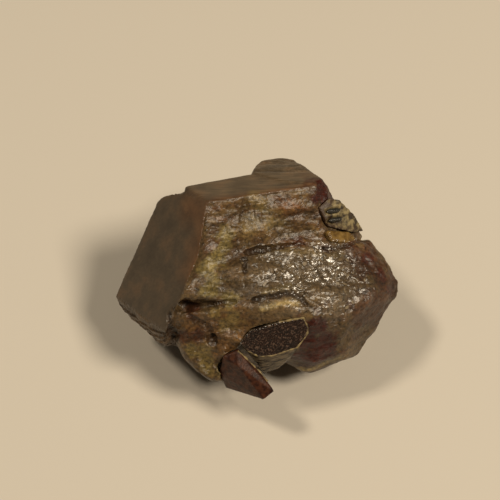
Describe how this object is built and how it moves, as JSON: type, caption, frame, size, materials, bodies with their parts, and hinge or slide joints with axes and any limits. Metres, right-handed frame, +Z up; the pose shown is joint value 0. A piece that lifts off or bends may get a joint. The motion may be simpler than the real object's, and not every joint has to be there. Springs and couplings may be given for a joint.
{
  "type": "bastnaesite crystal specimen",
  "caption": "Stout brown bastnaesite crystal with a smooth slanted end face, an etched front, smaller crystals grown into it and a flat broken base to rest on.",
  "frame": {"origin": "middle of the bounding box in X and Y, at the level of the flat base", "axes": "+Z up from the base, +X along the crystal from the smooth end face to the etched tip, -Y towards the etched front"},
  "size_m": [0.0348, 0.0286, 0.0224],
  "materials": {
    "bastnaesite": "waxy brown, smooth on the grown faces and glittering where etched",
    "dark_bastnaesite": "nearly black red-brown, greasy",
    "brown_bastnaesite": "red-brown, waxy, with a pale broken edge",
    "feldspar": "chalky white",
    "yellow_grain": "honey yellow, waxy",
    "black_grain": "black, bladed, shining"
  },
  "bodies": {
    "root": {"main_crystal": "bastnaesite", "dark_crystal": "dark_bastnaesite", "wedge_crystal": "brown_bastnaesite", "feldspar_grain": "feldspar", "yellow_grain": "yellow_grain", "black_bar_upper": "black_grain", "black_bar_lower": "black_grain"}
  },
  "joints": []
}
